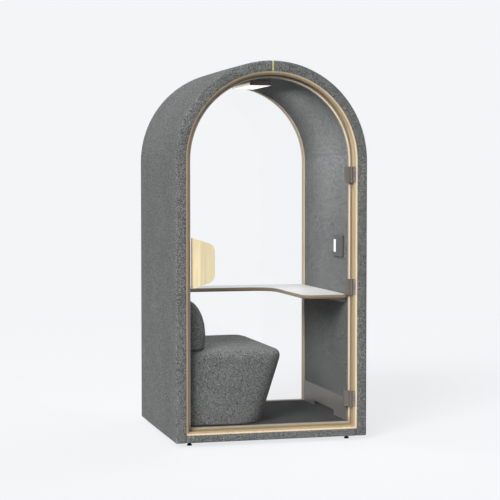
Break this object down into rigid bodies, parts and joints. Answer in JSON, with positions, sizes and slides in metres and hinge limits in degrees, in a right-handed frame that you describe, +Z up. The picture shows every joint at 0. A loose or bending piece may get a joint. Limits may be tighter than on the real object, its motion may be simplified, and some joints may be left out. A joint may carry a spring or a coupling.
{
  "type": "acoustic office pod",
  "caption": "Arch-shaped upholstered work booth with a hinged glass door, glazed rear, bench seat with back cushion, L-shaped desk, ceiling lamp, fan and power plate.",
  "frame": {"origin": "on the floor under the middle of the bounding box, in the plane of the undersides of the feet", "axes": "+Z up; -Y towards the glass door at the front; +X to the right as seen from the front, towards the hinges and the desk"},
  "size_m": [1.151, 1.055, 2.2224],
  "materials": {
    "shell_fabric": "speckled grey boucle",
    "lining_felt": "grey felt",
    "board_core": "raw board",
    "birch_ply": "clear satin lacquer on pale plywood",
    "seat_fabric": "speckled grey boucle",
    "carpet_pile": "short loop pile",
    "clear_glass": "clear, polished edges",
    "taupe_metal": "satin powder coat",
    "dark_metal": "matt powder coat",
    "steel": "brushed",
    "pale_silicone": "matt silicone",
    "black_rubber": "matt",
    "black_plastic": "matt",
    "grey_plastic": "fine texture",
    "white_plastic": "satin gloss",
    "white_laminate": "fine matt laminate",
    "opal_acrylic": "opal, lit from behind",
    "seam_piping": "woven piping",
    "circuit_board": "white solder mask"
  },
  "bodies": {
    "pod": {"upholstery_left": "shell_fabric", "upholstery_right": "shell_fabric", "plinth_front": "shell_fabric", "plinth_rear": "shell_fabric", "lining_left": "lining_felt", "lining_right": "lining_felt", "wall_core_left": "board_core", "wall_core_right": "board_core", "base_panel": "board_core", "seat_frame": "board_core", "front_frame": "birch_ply", "front_stop": "birch_ply", "back_stop": "birch_ply", "back_frame": "birch_ply", "floor_panel": "birch_ply", "desk_core": "birch_ply", "seat_body": "seat_fabric", "back_cushion": "seat_fabric", "carpet": "carpet_pile", "back_glass": "clear_glass", "hinge_leaf_lower": "taupe_metal", "hinge_leaf_middle": "taupe_metal", "hinge_leaf_upper": "taupe_metal", "kick_plate": "taupe_metal", "ceiling_housing": "taupe_metal", "desk_rail": "dark_metal", "roof_grille": "dark_metal", "hinge_pin_lower": "steel", "hinge_pin_middle": "steel", "hinge_pin_upper": "steel", "door_seal": "pale_silicone", "back_gasket": "pale_silicone", "foot_front_left": "black_rubber", "foot_front_right": "black_rubber", "foot_rear_left": "black_rubber", "foot_rear_right": "black_rubber", "mains_inlet": "black_plastic", "power_supply": "black_plastic", "switch_body": "black_plastic", "fan_frame": "black_plastic", "wall_plate": "grey_plastic", "socket_insert": "grey_plastic", "desk_laminate": "white_laminate", "lamp_diffuser": "opal_acrylic", "crown_strip_front": "seam_piping", "crown_strip_rear": "seam_piping", "lamp_board": "circuit_board"},
    "door": {"door_glass": "clear_glass", "pull_outer": "birch_ply", "pull_inner": "birch_ply", "pull_bolt_lower": "steel", "pull_bolt_upper": "steel", "hinge_clamp_lower": "taupe_metal", "hinge_clamp_middle": "taupe_metal", "hinge_clamp_upper": "taupe_metal", "hinge_backing_lower": "taupe_metal", "hinge_backing_middle": "taupe_metal", "hinge_backing_upper": "taupe_metal"},
    "rocker": {"light_rocker": "white_plastic"},
    "rotor": {"fan_rotor": "black_plastic"}
  },
  "joints": [
    {"name": "door_swing", "type": "hinge", "parent": "pod", "child": "door", "pos_m": [0.4845, -0.5075, 0.907], "axis": [0, 0, 1], "range_deg": [0, 95]},
    {"name": "rocker_tilt", "type": "hinge", "parent": "pod", "child": "rocker", "pos_m": [0.4802, -0.2175, 1.139], "axis": [0, 1, 0], "range_deg": [-4, 4], "stiffness_Nm_per_rad": 0.05},
    {"name": "rotor_spin", "type": "hinge", "parent": "pod", "child": "rotor", "pos_m": [0, -0.0475, 2.146], "axis": [0, 0, 1], "continuous": true}
  ]
}
